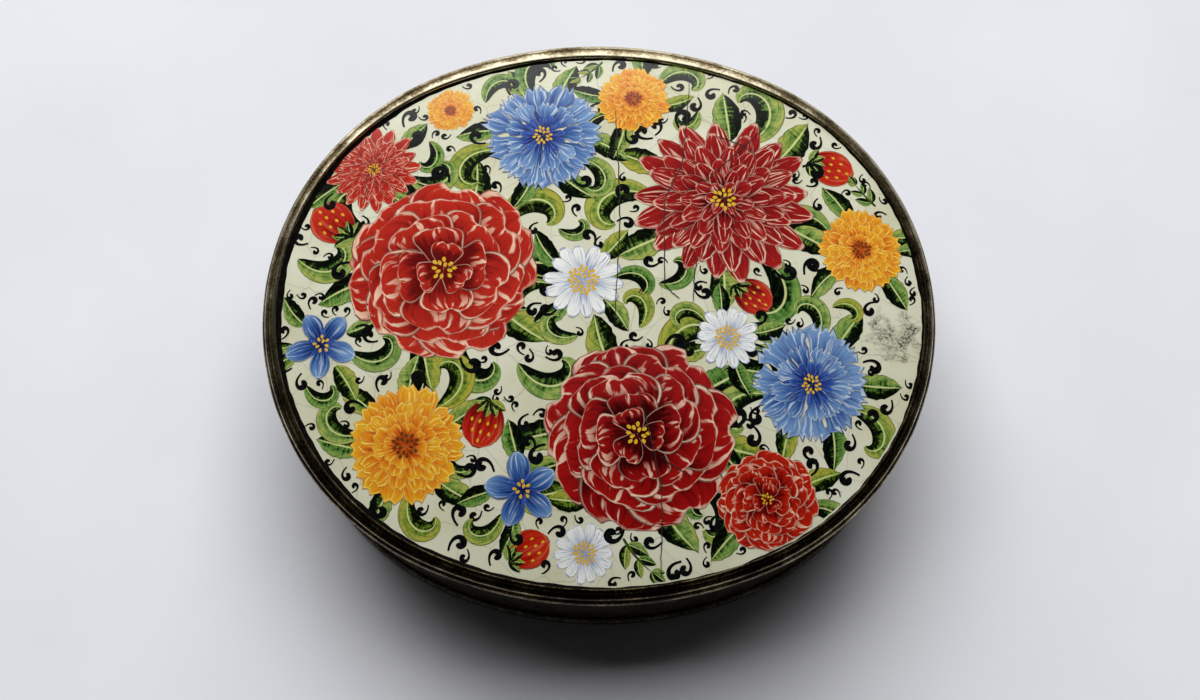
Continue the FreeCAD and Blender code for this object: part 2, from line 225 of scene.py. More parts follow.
def plate(name, inset, top, thickness, body, material, replaced=()):
    """An oval plate: rings of the outline shrunk to the middle, at height top(x, y), and the same below."""
    turn = even_turns()
    share = np.linspace(1, 0, PLATE_RINGS, endpoint=False)[:, None]
    edge_x, edge_y = oval(inset, turn)
    x, y = edge_x * share, edge_y * share
    upper = np.stack([x, y, top(x, y)], -1)
    lower = upper - (0, 0, thickness)
    crown = top(np.zeros(1), np.zeros(1))[0]
    poles = np.array([[0, 0, crown], [0, 0, crown - thickness]])
    size = upper.size // 3
    over = np.arange(size).reshape(PLATE_RINGS, TURNS)
    under = over + size
    cap = np.stack([over[-1], np.roll(over[-1], -1), np.full(TURNS, 2 * size)], -1)
    base = np.stack([np.roll(under[-1], -1), under[-1], np.full(TURNS, 2 * size + 1)], -1)
    wall = np.stack([over[0], under[0], np.roll(under[0], -1), np.roll(over[0], -1)], -1)
    faces = [grid_faces(over, False, True)[:, ::-1], grid_faces(under, False, True), cap, base, wall]
    points = np.concatenate([upper.reshape(-1, 3), lower.reshape(-1, 3), poles])
    make_piece(name, points, faces, body, material, replaced)


# materials

MIX_A, MIX_B, MIX_OUT = 6, 7, 2
WHOLE = (0.0, 1.0)
USUAL_NOISE = (0.3, 0.7)
WIDE_NOISE = (0.25, 0.75)
GLAZE = {"Roughness": 0.17, "IOR": 1.5}
WORN_PATCH = (37.4, -3.0, 24.6)
BARE_RADIUS = 4.6


def linear(hex_colour):
    """An sRGB hex value as linear RGBA."""
    parts = np.array([int(hex_colour[i:i + 2], 16) for i in (1, 3, 5)]) / 255
    toe = parts / 12.92
    curve = ((parts + 0.055) / 1.055) ** 2.4
    return (*np.where(parts <= 0.04045, toe, curve), 1.0)


def add_node(tree, kind, sockets=None, stops=(), **settings):
    """Add a node: sockets maps inputs to values, hex shades or outputs that feed them; stops fill a ramp."""
    node = tree.nodes.new("ShaderNode" + kind)
    for name, value in settings.items():
        setattr(node, name, value)
    for key, value in (sockets or {}).items():
        if isinstance(value, bpy.types.NodeSocket):
            tree.links.new(value, node.inputs[key])
        else:
            node.inputs[key].default_value = linear(value) if isinstance(value, str) else value
    for number, (place, shade) in enumerate(stops):
        if number >= len(node.color_ramp.elements):
            node.color_ramp.elements.new(place)
        node.color_ramp.elements[number].position = place
        node.color_ramp.elements[number].color = linear(shade)
    return node


def after(kind, sockets, stops=(), **settings):
    """The outputs of a new node in the tree of the first socket that feeds it."""
    source = next(value for value in sockets.values() if isinstance(value, bpy.types.NodeSocket))
    return add_node(source.id_data, kind, sockets, stops, **settings).outputs


def ranged(value, span, low=0.0, high=1.0):
    """A value carried from its span to low .. high and held there beyond the span's ends."""
    return after("MapRange", {"Value": value, "From Min": span[0], "From Max": span[1],
                              "To Min": low, "To Max": high})[0]


def figured(operation, *values, **settings):
    """Arithmetic on values."""
    return after("Math", dict(enumerate(values)), operation=operation, **settings)[0]


def mixed(share, under, over, blend="MIX"):
    """One colour laid over another, share being how much of it shows."""
    return after("Mix", {0: share, MIX_A: under, MIX_B: over}, data_type="RGBA", blend_type=blend)[MIX_OUT]


def coloured(value, *stops):
    """A value turned to colour by stops of (value, shade)."""
    return after("ValToRGB", {"Fac": value}, stops)["Color"]


def lumps(place, grain_mm, detail):
    """Cloudy noise with lumps of a given size."""
    return after("TexNoise", {"Vector": place, "Scale": 1 / (grain_mm * MM), "Detail": detail})["Fac"]


def bristles(brush, across, along, detail):
    """Noise in a mark's own coordinates: so many lumps across it and along it."""
    lane = after("VectorMath", {0: brush, 1: (across, along, 0.0)}, operation="MULTIPLY")[0]
    return after("TexNoise", {"Vector": lane, "Scale": 1.0, "Detail": detail}, noise_dimensions="2D")["Fac"]


def dented(height, strength, depth_mm):
    """A surface normal that follows a height."""
    return after("Bump", {"Height": height, "Strength": strength, "Distance": depth_mm * MM})["Normal"]


def brush_parts(tree):
    """What a painted mark knows: its UV, u across it, distance from its middle, v along it, its own lot."""
    brush = add_node(tree, "UVMap", uv_map="brush").outputs["UV"]
    parts = after("SeparateXYZ", {"Vector": brush})
    u = figured("FRACT", parts["X"])
    off_middle = figured("ABSOLUTE", figured("MULTIPLY_ADD", u, 2.0, -1.0))
    lot = after("TexWhiteNoise", {"W": figured("FLOOR", parts["X"])}, noise_dimensions="1D")["Value"]
    return brush, u, off_middle, parts["Y"], lot


def new_material(name, **constants):
    """A Principled material with constants on the shader's own sockets; gives it and its tree."""
    material = bpy.data.materials.new(name)
    material.use_nodes = True
    shader = material.node_tree.nodes["Principled BSDF"]
    for socket, value in constants.items():
        shader.inputs[socket.replace("_", " ")].default_value = value
    return material, material.node_tree


def ended(material, **sources):
    """A material whose shader is fed by sources, an underscore standing for a space in a socket's name."""
    tree = material.node_tree
    for socket, source in sources.items():
        tree.links.new(source, tree.nodes["Principled BSDF"].inputs[socket.replace("_", " ")])
    return material


def tarnished_silver(name, bright, worn, black, least, most, patchy=0.3):
    """Drawn silver, sulphide-dark in the grooves and rubbed bright on the crests, with fine handling marks.
    On the lid's rim the polish it reads also holds painted shade.

    least and most are the roughness of bright and of black metal; patchy is how far clouds shift the wear.
    """
    cloud_mm, grit_mm, gritty = 3.5, 0.35, 0.18
    material, tree = new_material(name, Metallic=1.0)
    place = add_node(tree, "TexCoord").outputs["Object"]
    # the polish attribute holds real wear and, on the lid's rim, painted shade at the front
    rubbed = add_node(tree, "Attribute", attribute_name="polish").outputs["Fac"]
    grit = lumps(place, grit_mm, 3.0)
    patch = ranged(lumps(place, cloud_mm, 5.0), USUAL_NOISE, -patchy, patchy)
    speck = ranged(grit, USUAL_NOISE, -gritty, gritty)
    wear_and_shade = figured("ADD", rubbed, figured("ADD", patch, speck), use_clamp=True)
    return ended(material, Base_Color=coloured(wear_and_shade, (0.12, black), (0.5, worn), (0.92, bright)),
                 Roughness=ranged(wear_and_shade, WHOLE, most, least), Normal=dented(grit, 0.12, 0.02))


def white_enamel(name):
    """Opaque white vitreous enamel, fired and glossy: slightly wavy, yellowed in clouds, finely crazed.

    About WORN_PATCH the glaze is rubbed through in grey specks that thin out over a few millimetres.
    """
    cloud_mm, craze_mm, speck_mm, wave_mm = 9.0, 5.5, 1.1, 5.0
    worn_mm, fade_mm, scuff_mm, grit_mm = 2.5, 6.5, 2.0, 0.3
    crooked = 0.003
    craze_line, craze_dark = (0.004, 0.014), 0.3
    speck_span, speck_dark = (0.72, 0.8), 0.55
    rub_near, rub_span = 0.36, (0.76, 0.96)
    grit_span, grit_least = (0.42, 0.6), 0.3
    material, tree = new_material(name, Roughness=0.14, IOR=1.5)
    place = add_node(tree, "TexCoord").outputs["Object"]
    cloud = after("TexNoise", {"Vector": place, "Scale": 1 / (cloud_mm * MM), "Detail": 4.0})
    ground = coloured(cloud["Fac"], (0.3, "#C9C8A9"), (0.5, "#D3D2B8"), (0.7, "#DCDCC8"))
    bend = mixed(crooked, place, cloud["Color"], "ADD")
    cells = after("TexVoronoi", {"Vector": bend, "Scale": 1 / (craze_mm * MM)}, feature="DISTANCE_TO_EDGE")
    crazed = mixed(ranged(cells["Distance"], craze_line, craze_dark, 0.0), ground, "#7E7A66")
    dirty = mixed(ranged(lumps(place, speck_mm, 2.0), speck_span, 0.0, speck_dark), crazed, "#6F6A55")
    patch = tuple(MM * part for part in WORN_PATCH)
    away = after("VectorMath", {0: place, 1: patch}, operation="DISTANCE")["Value"]
    near = ranged(away, (worn_mm * MM, fade_mm * MM), rub_near, 0.0)
    rubbed = figured("ADD", lumps(place, scuff_mm, 2.0), near)
    speckle = ranged(lumps(place, grit_mm, 2.0), grit_span, grit_least)
    stain = figured("MULTIPLY", ranged(rubbed, rub_span), speckle)
    return ended(material, Base_Color=mixed(stain, dirty, "#3E3E38"),
                 Normal=dented(lumps(place, wave_mm, 1.0), 0.25, 0.08))


def mottled(name, stops, grain_mm, detail=5.0, dent=0.1, **constants):
    """A material clouded between the colours of its stops, its surface dented by the same grain."""
    dent_mm = 0.05
    material, tree = new_material(name, **constants)
    place = add_node(tree, "TexCoord").outputs["Object"]
    grain = lumps(place, grain_mm, detail)
    return ended(material, Base_Color=coloured(grain, *stops), Normal=dented(grain, dent, dent_mm))


def painted_petal(name, deep, body, light, line, pale=0.85):
    """Oxide colour painted on and fired: dark at the foot, fine hair lines, pale streaks and a pale edge.

    pale is how well the line colour covers.
    """
    streaks, finer, sway_reach, edge_sway = 8.0, 2.7, 0.28, 0.12
    lots, least_edge = (-0.2, 0.16), 0.4
    hair_span, hair_dark, hair_fade = (0.54, 0.64), 0.7, (0.25, 0.9)
    streak_span, streak_grow = (0.6, 0.66), (0.2, 0.8)
    rim_span, outline_span, outline_dark = (0.9, 0.94), (0.95, 0.975), 0.85
    material, tree = new_material(name, **GLAZE)
    brush, _, off_middle, v, lot = brush_parts(tree)
    broad = bristles(brush, streaks, 1.1, 2.0)
    fine = bristles(brush, streaks * finer, 1.6, 2.0)
    sway = ranged(broad, WIDE_NOISE, -sway_reach, sway_reach)
    own = figured("ADD", v, ranged(lot, WHOLE, *lots))
    tone = coloured(figured("ADD", own, sway), (0.0, deep), (0.38, body), (0.95, light))
    hairs = figured("MULTIPLY", ranged(fine, hair_span, 0.0, hair_dark), ranged(v, hair_fade, 1.0, 0.25))
    shaded = mixed(hairs, tone, deep)
    streaked = figured("MULTIPLY", ranged(broad, streak_span, 0.0, pale), ranged(v, streak_grow))
    lined = mixed(streaked, shaded, line)
    border = figured("MAXIMUM", off_middle, v)
    rim = ranged(figured("MULTIPLY_ADD", sway, edge_sway, border), rim_span, 0.0, pale)
    laid = figured("MULTIPLY", rim, ranged(lot, WHOLE, least_edge, 1.0))
    edged = mixed(laid, lined, line)
    outline = ranged(border, outline_span, 0.0, outline_dark)
    return ended(material, Base_Color=mixed(outline, edged, deep))


def painted_leaf(name):
    """Green fired colour: black-green on the shaded half, yellow-green on the lit one, with side veins."""
    sway_reach, hatch_reach, lots = 0.22, 0.14, (-0.14, 0.1)
    vein_slant, vein_rows, vein_span, vein_dark = -0.45, 8.0, (0.86, 0.97), 0.65
    rib_span, rib_light, edge_span, edge_dark = (0.04, 0.1), 0.8, (0.9, 0.97), 0.7
    material, tree = new_material(name, **GLAZE)
    brush, u, off_middle, v, lot = brush_parts(tree)
    sway = ranged(bristles(brush, 5.0, 4.0, 3.0), WIDE_NOISE, -sway_reach, sway_reach)
    hatch = ranged(bristles(brush, 1.5, 24.0, 1.0), USUAL_NOISE, -hatch_reach, hatch_reach)
    own = figured("ADD", u, ranged(lot, WHOLE, *lots))
    side = figured("ADD", own, figured("ADD", sway, hatch))
    tone = coloured(side, (0.24, "#060906"), (0.36, "#1E300E"), (0.46, "#4C6E2A"), (0.7, "#7A984A"),
                    (0.95, "#A4AC5A"))
    tint = coloured(lot, (0.0, "#C4E4D4"), (0.45, "#FFFFFF"), (1.0, "#FFEC9A"))
    tinted = mixed(1.0, tone, tint, "MULTIPLY")
    slant = figured("MULTIPLY_ADD", off_middle, vein_slant, v)
    beat = figured("PINGPONG", figured("MULTIPLY", slant, vein_rows), 1.0)
    veined = mixed(ranged(beat, vein_span, 0.0, vein_dark), tinted, "#1C3010")
    ribbed = mixed(ranged(off_middle, rib_span, rib_light, 0.0), veined, "#D6DD93")
    edged = mixed(ranged(off_middle, edge_span, 0.0, edge_dark), ribbed, "#1A2C0E")
    return ended(material, Base_Color=edged)


def painted_line(name, foot, tip):
    """A single stroke of fired colour, thinner in pigment where the brush lifted."""
    material, tree = new_material(name, **GLAZE)
    brush = add_node(tree, "UVMap", uv_map="brush").outputs["UV"]
    dab = bristles(brush, 3.0, 5.0, 2.0)
    return ended(material, Base_Color=coloured(dab, (0.35, foot), (0.7, tip)))


RIM_SILVER = tarnished_silver("drawn_silver_tarnished", "#D2C8AC", "#7A6A4A", "#22180C", 0.24, 0.48)
DARK_SILVER = tarnished_silver("raised_silver_blackened", "#9A927E", "#564F40", "#1C1812", 0.33, 0.58, 0.13)
INNER_SILVER = tarnished_silver("planished_silver_dull", "#C4BCA4", "#948B76", "#4A4436", 0.3, 0.5)
PIN_WIRE = tarnished_silver("drawn_brass_wire", "#B79A58", "#7C6434", "#2E2412", 0.3, 0.5)
ENAMEL = white_enamel("white_enamel_fired")
# near-black grime and painted shadow in the corner between lip and enamel
GRIME_AND_SHADOW = mottled("packing_grime_and_painted_shadow", [(0.4, "#030303"), (0.62, "#0C0A07"), (0.8, "#221C12")], 0.6, 4.0, 0.5,
                Roughness=0.8, Specular_IOR_Level=0.15)
COPPER = mottled("copper_sheet_oxidised", [(0.3, "#4A2416"), (0.55, "#8A4A2E"), (0.75, "#B26A44")], 4.0,
                 Metallic=1.0, Roughness=0.42)
BACK = mottled("counter_enamel_speckled", [(0.34, "#8F9690"), (0.45, "#C4C9C0"), (0.7, "#DCDFD6")], 2.2,
               Roughness=0.3)


# metalwork and plaque: heights where pieces meet, the lip, the flat cut for the hinge and the packing line
# of grime and painted shadow

FOOT_TOP = 1.2
FLOOR_SHEET = 0.6
WALL_TOP = 21.5
LID_FOOT = 21.6
BASE_RIM_OUT = 0.9
LIP_ROOT, LIP_CREST = 1.22, 1.58
LIP_BACK, LIP_LEFT = 0.72, 0.26
NOTCH_HALF = 8.4
NOTCH_Y = 35.0
NOTCH_SPREAD = math.asin(NOTCH_HALF / (FLANK_RADIUS - BASE_RIM_OUT))
BACK_TURN = math.pi / 2
# share of the polish left at the front of the lid's rim: painted shade, as no lamp lights the front
FRONT_SHADE_POLISH = 0.3
LIP_BLACKENED = 0.7
# the packing line reaches further in at the left and the back as a painted shadow of the rim
PACKING_INSET, PACKING_SHADOW_LEFT, PACKING_SHADOW_BACK = 2.33, 0.34, 0.32
PACKING_CRUMBLED, PACKING_WANDER = 0.16, 0.1
PACKING_UNDER_LIP = (1.5, 1.62)
PACKING_BULGE, PACKING_TUCK = 0.25, 0.05
PACKING_LIFT = (0.02, 0.27, 0.16, 0.012, -0.1)
BACK_MARGIN = 0.1


def rim_polish_and_front_shade(turn):
    """Share of the polish that is left round the lid's rim: little in front, which is painted shade, all of
    it at the back.
    """
    return FRONT_SHADE_POLISH + (1 - FRONT_SHADE_POLISH) * ((1 + np.sin(turn)) / 2) ** 0.6


def lip_polish_and_shade(turn):
    """As round the rim, painted shade in front included, and less at the right, where the lip is left black.
    """
    return rim_polish_and_front_shade(turn) * (1 - LIP_BLACKENED * np.maximum(np.cos(turn), 0) ** 1.5)


def lip_extra(turn):
    """How much further the lip is rubbed over the enamel: most at the back, some at the left."""
    return LIP_BACK * np.maximum(np.sin(turn), 0) ** 2 + LIP_LEFT * np.maximum(-np.cos(turn), 0) ** 2


def build_metal():
    """Every oval piece of metal, sections as in the construction, with their edges broken.

    A section's corners are (inset, height, radius of the broken edge, polish).
    """
    ring("foot_moulding", [
        (2.0, 0.0, 0.08, 0.25), (2.0, 0.75, 0.2, 0.6), (2.45, FOOT_TOP, 0.15, 0.3),
        (3.8, FOOT_TOP, 0.05, 0.0), (3.8, 0.6, 0.05, 0.1), (4.4, 0.6, 0.05, 0.1), (4.4, 0.0, 0.05, 0.1)],
        "base", DARK_SILVER, ["foot_rim"])
    ring("side_wall", [
        (2.6, FOOT_TOP, 0.05, 0.4), (2.6, WALL_TOP, 0.05, 0.24),
        (3.4, WALL_TOP, 0.05, 0.3), (3.4, FOOT_TOP, 0.05, 0.3)],
        "base", DARK_SILVER, ["base_wall"])
    plate("floor_sheet", 3.83, lambda x, y: np.full(np.shape(x), FOOT_TOP), FLOOR_SHEET,
          "base", INNER_SILVER, ["bottom_plate"])
    ring("base_moulding", [
        (1.5, 19.3, 0.1, 0.1), (BASE_RIM_OUT, 19.9, 0.25, 0.55), (BASE_RIM_OUT, 20.9, 0.25, 0.6),
        (1.5, WALL_TOP, 0.1, 0.15), (2.57, WALL_TOP, 0.05, 0.0), (2.57, 19.3, 0.05, 0.0)],
        "base", DARK_SILVER, ["base_rim"], notch=(BACK_TURN, NOTCH_SPREAD, NOTCH_Y))
    ring("guide_collar", [
        (3.43, 18.5, 0.08, 0.3), (3.43, 22.7, 0.15, 0.8), (4.03, 22.7, 0.15, 0.8), (4.03, 18.5, 0.08, 0.3)],
        "base", INNER_SILVER, ["collar"], wander=0.01)
    ring("reeded_moulding", [
        (0.15, LID_FOOT, 0.05, 0.1), (0.0, 22.1, 0.45, 0.95), (0.15, 22.6, 0.06, 0.3),
        (0.51, 22.9, 0.08, 0.0), (0.41, 23.25, 0.3, 0.9), (0.51, 23.6, 0.08, 0.9),
        (1.02, 23.9, 0.06, 0.5), (1.02, LID_FOOT, 0.05, 0.0)],
        "lid", RIM_SILVER, ["lid_moulding"], wear_and_shade=rim_polish_and_front_shade)
    ring("burnished_lip", [
        (1.05, LID_FOOT, 0.04, 0.0), (1.05, 23.96, 0.06, 0.3), (LIP_ROOT, 24.12, 0.12, 0.45),
        (LIP_CREST, 24.29, 0.14, 0.95), (1.75, 23.96, 0.06, 0.3), (1.40, 23.94, 0.04, 0.0),
        (1.40, LID_FOOT, 0.04, 0.0)],
        "lid", RIM_SILVER, ["setting_strip"], wander=0.03, wear_and_shade=lip_polish_and_shade,
        lip=(LIP_ROOT, LIP_CREST, lip_extra))
    ring("seat_ring", [
        (1.43, LID_FOOT, 0.05, 0.2), (1.43, 22.5, 0.05, 0.2), (3.13, 22.5, 0.12, 0.5),
        (3.13, LID_FOOT, 0.12, 0.6)],
        "lid", INNER_SILVER, ["seat_frame"])


def build_plaque():
    """Painted enamel on its copper, and the thin enamel on the copper's underside."""
    copper_drop = FACE_ENAMEL + FUSE_FILM
    back_drop = copper_drop + COPPER_SHEET + FUSE_FILM
    plate("enamel_face", PLAQUE_INSET, dome, FACE_ENAMEL, "lid", ENAMEL, ["plaque_face"])
    plate("copper_sheet", PLAQUE_INSET, lambda x, y: dome(x, y) - copper_drop, COPPER_SHEET,
          "lid", COPPER, ["plaque_copper"])
    plate("counter_enamel", PLAQUE_INSET + BACK_MARGIN, lambda x, y: dome(x, y) - back_drop, BACK_ENAMEL,
          "lid", BACK)


def build_grime_and_shadow():
    """Dark fillet between lip and enamel, grime with painted shadow of the rim: crumbled inside, and further
    in at the left and the back, where the painted shadow lies.
    """
    turn = even_turns(2 * TURNS)
    ragged = PACKING_CRUMBLED * unevenness(turn * 3, 5) + PACKING_WANDER * unevenness(turn, 8)
    inner = PACKING_INSET - PACKING_SHADOW_LEFT * np.cos(turn) + PACKING_SHADOW_BACK * np.sin(turn) + ragged
    hidden = [np.full(turn.shape, inset) for inset in PACKING_UNDER_LIP]
    inset = np.stack([*hidden, inner - PACKING_BULGE, inner, inner - PACKING_TUCK], 1)
    x, y = oval(inset, turn[:, None])
    points = np.stack([x, y, dome(x, y) + np.array(PACKING_LIFT)], -1).reshape(-1, 3)
    grid = np.arange(x.size).reshape(x.shape)
    make_piece("packing_line_and_painted_shadow", points, [grid_faces(grid, True, True)], "lid", GRIME_AND_SHADOW)


# painting: every brush mark is a thin film fused on the dome

RNG = np.random.default_rng(1726)
FIELD_INSET = 2.1
FILM_FOOT = -0.02
LAYER = 0.007
MARK_FOOT, MARK_TIP = 0.015, 0.985
BRUSH_HALF = 0.498
PETAL_SWAY = 0.06
LEAF_PLUMP = 0.26
GOLDEN_TURN = math.pi * (3 - math.sqrt(5))

# what a petal-shaped mark is given by, with its usual value
MARK = {"x": 0, "y": 0, "heading": 0, "length": 1, "half_width": 0.3, "bend": 0, "rise": 0.5, "blunt": 3,
        "point": 0.5, "frill": 0, "waves": 3, "phase": 0, "notch": 0, "hidden": 0, "lift": 0.02}
LAID = {}


def lay(kind, **marks):
    """Keep marks of one kind; a single value serves them all."""
    columns = [np.asarray(marks.get(name, usual), float).ravel() for name, usual in MARK.items()]
    LAID.setdefault(kind, []).append(np.stack(np.broadcast_arrays(*columns)))


def petal_shape(table, rows, columns):
    """Petals as grids: v runs from foot to tip, s across from -1 to 1.

    Half width is v^rise times (1 - v^blunt)^point over its largest value. The middle line leaves the
    foot along the heading and swings aside by bend times v squared. The edge swells in waves by frill,
    and the tip waves by frill and dips in the middle by notch.
    """
    mark = dict(zip(MARK, table[:, :, None, None]))
    v = np.linspace(MARK_FOOT, MARK_TIP, rows)[None, :, None]
    s = np.linspace(-1, 1, columns)[None, None, :]
    width = v ** mark["rise"] * (1 - v ** mark["blunt"]) ** mark["point"]
    width = width / width.max(1, keepdims=True)
    swell = 1 + mark["frill"] * np.sin(2 * math.pi * mark["waves"] * v + mark["phase"] + s)
    tip = mark["frill"] * 0.5 * np.cos(math.pi * mark["waves"] * s + mark["phase"])
    tip = tip - mark["notch"] * (1 - np.abs(s))
    along = mark["length"] * (v + tip * v ** 5)
    aside = mark["length"] * mark["bend"] * v ** 2 + s * mark["half_width"] * width * swell
    x = mark["x"] + np.cos(mark["heading"]) * along - np.sin(mark["heading"]) * aside
    y = mark["y"] + np.sin(mark["heading"]) * along + np.cos(mark["heading"]) * aside
    shown = np.clip((v - mark["hidden"]) / (1 - mark["hidden"]), 0, 1)
    return x, y, mark["lift"] + 0 * x, s + 0 * x, shown + 0 * x


def field_share(x, y, inset):
    """Distance from the middle as a share of the distance to an oval that is drawn in by inset."""
    edge_x, edge_y = oval(inset, even_turns())
    reach = np.hypot(edge_x, edge_y)
    edge = np.interp(np.arctan2(y, x), np.arctan2(edge_y, edge_x), reach, period=2 * math.pi)
    return np.hypot(x, y) / edge


def make_films(name, shapes, material):
    """Closed films: a top grid draped on the dome, a wall down into the enamel and one face beneath.

    What runs over the painted field's edge is drawn back to it along the line to the middle.
    """
    x, y, lift, s, v = shapes
    over = np.maximum(field_share(x, y, FIELD_INSET), 1)
    x, y = x / over, y / over
    count, rows, columns = x.shape
    top = np.stack([x, y, dome(x, y) + lift], -1).reshape(count, -1, 3)
    grid = np.arange(rows * columns).reshape(rows, columns)
    edge = np.concatenate([grid[:-1, 0], grid[-1, :-1], grid[:0:-1, -1], grid[0, :0:-1]])
    foot = rows * columns + np.arange(len(edge))
    below = top[:, edge].copy()
    below[..., 2] = dome(below[..., 0], below[..., 1]) + FILM_FOOT
    points = np.concatenate([top, below], 1)
    number = np.arange(count)[:, None]
    brush = np.stack([number + 0.5 + BRUSH_HALF * s.reshape(count, -1), v.reshape(count, -1)], -1)
    brush = np.concatenate([brush, brush[:, edge]], 1)
    wall = np.stack([edge, foot, np.roll(foot, -1), np.roll(edge, -1)], -1)
    start = number[:, :, None] * points.shape[1]
    faces = [(part[None] + start).reshape(-1, part.shape[1])
             for part in (grid_faces(grid), wall, foot[None, ::-1])]
    make_piece(name, points.reshape(-1, 3), faces, "lid", material,
               brush=brush.reshape(-1, 2))


# flowers, leaves and small marks

def jitter(count, amount):
    """Small hand-made differences."""
    return RNG.uniform(-amount, amount, count)


def off(x, y, heading, along, aside=0):
    """The point that lies along a heading from (x, y), and aside to the left of it."""
    return (x + along * math.cos(heading) - aside * math.sin(heading),
            y + along * math.sin(heading) + aside * math.cos(heading))


def whorl(kind, x, y, count, reach, half_width, lift, start, **shape):
    """One ring of petals about a centre, each a little higher than the one before it."""
    turn = start + np.arange(count) * 2 * math.pi / count
    lay(kind, x=x, y=y, heading=turn + jitter(count, PETAL_SWAY),
        length=reach * (1 + jitter(count, PETAL_SWAY)),
        half_width=half_width * (1 + jitter(count, PETAL_SWAY)), phase=RNG.uniform(0, 6, count),
        lift=lift + LAYER * np.arange(count) / count, **shape)


def heart_of_dots(kind, x, y, radius, count, lift):
    """Seeds in the middle of a flower, each a golden turn on from the last."""
    step = np.arange(count) + 0.5
    far = radius * np.sqrt(step / count)
    turn = step * GOLDEN_TURN
    size = radius * 1.5 / math.sqrt(count)
    lay(kind, x=x + far * np.cos(turn), y=y + far * np.sin(turn), heading=turn, length=size * 1.5,
        half_width=size * 0.5, rise=0.5, blunt=2, lift=lift)


def full_flower(rings, twist, seeds, heart, dots, **shape):
    """A way to paint whorls one inside the other, each a twist on and a layer higher, and a heart of dots.

    A ring is (petals, reach, half width); reach, half width and heart are shares of the flower's radius.
    """
    def paint(kind, x, y, radius, lift, start):
        for number, (count, reach, half_width) in enumerate(rings):
            whorl(kind, x, y, count, radius * reach, radius * half_width, lift + LAYER * number,
                  start + number * twist, **shape)
        heart_of_dots(seeds, x, y, radius * heart, dots, lift + LAYER * (len(rings) + 1))
    return paint


# rose: broad frilled petals; dahlia: narrow pointed ones; marigold: short round ones; daisy: one slim ring
rose = full_flower(((7, 1.0, 0.50), (6, 0.83, 0.45), (5, 0.66, 0.38), (4, 0.48, 0.29), (3, 0.30, 0.18)),
                   GOLDEN_TURN, "gold_seeds", 0.09, 12, rise=0.62, blunt=5, frill=0.06, waves=1.3,
                   notch=0.04, bend=0.1, hidden=0.5)
dahlia = full_flower(((17, 1.0, 0.15), (16, 0.84, 0.14), (14, 0.68, 0.125), (12, 0.52, 0.11),
                      (9, 0.36, 0.09), (6, 0.22, 0.07)), 0.5, "gold_seeds", 0.1, 16, rise=0.75, blunt=3,
                     point=0.8, hidden=0.3, bend=0.05)
marigold = full_flower(((15, 1.0, 0.19), (13, 0.8, 0.18), (11, 0.6, 0.16), (8, 0.4, 0.13)), 0.4,
                       "brown_seeds", 0.17, 20, rise=0.7, blunt=7, notch=0.08, hidden=0.35)
daisy = full_flower(((14, 1.0, 0.17),), 0.0, "gold_seeds", 0.32, 34, rise=0.5, blunt=6, hidden=0.15)


def cornflower(kind, x, y, radius, lift, start):
    """Flaring toothed florets round a heart of short dark ones."""
    flare = {"rise": 1.6, "blunt": 14, "frill": 0.16, "waves": 3}
    whorl(kind, x, y, 11, radius, radius * 0.27, lift, start, hidden=0.1, **flare)
    whorl(kind, x, y, 9, radius * 0.68, radius * 0.2, lift + LAYER, start + 0.3, hidden=0.15, **flare)
    whorl("navy_petals", x, y, 13, radius * 0.4, radius * 0.06, lift + 2 * LAYER, start, rise=0.8, blunt=4)
    heart_of_dots("gold_seeds", x, y, radius * 0.13, 18, lift + 3 * LAYER)


def star(kind, x, y, radius, lift, start):
    """Five pointed petals with a dark eye."""
    whorl(kind, x, y, 5, radius, radius * 0.3, lift, start, rise=0.8, blunt=2, point=0.8, hidden=0.05)
    whorl("navy_petals", x, y, 5, radius * 0.4, radius * 0.07, lift + LAYER, start + 0.63)
    heart_of_dots("gold_seeds", x, y, radius * 0.16, 9, lift + 2 * LAYER)


def berry(x, y, size, heading, lift):
    """A strawberry: heart-shaped body, seeds in rows and a leafy cap at its foot."""
    lay("berries", x=x, y=y, heading=heading, length=size, half_width=size * 0.42, rise=0.45, blunt=2.4,
        point=0.7, lift=lift)
    row = np.repeat([0.22, 0.42, 0.62, 0.8], (3, 4, 3, 1))
    aside = np.array([-0.2, 0, 0.2, -0.26, -0.09, 0.09, 0.26, -0.18, 0, 0.18, 0]) * 0.95
    lay("gold_seeds", x=x + size * (row * math.cos(heading) - aside * math.sin(heading)),
        y=y + size * (row * math.sin(heading) + aside * math.cos(heading)), heading=heading,
        length=size * 0.085, half_width=size * 0.025, lift=lift + LAYER)
    fan = heading + np.linspace(-1.25, 1.25, 5)
    lay("leaves", x=x, y=y, heading=fan, length=size * 0.36, half_width=size * 0.085, rise=0.6, blunt=1.5,
        point=0.9, lift=lift + LAYER * np.linspace(1.2, 2, 5))


def leaf(x, y, heading, length, lift, **shape):
    """Pointed leaves, whose edge a frill makes wavy."""
    lay("leaves", x=x, y=y, heading=heading, length=length, half_width=np.asarray(length) * LEAF_PLUMP,
        rise=0.62, blunt=1.7, point=0.9, lift=lift, **shape)


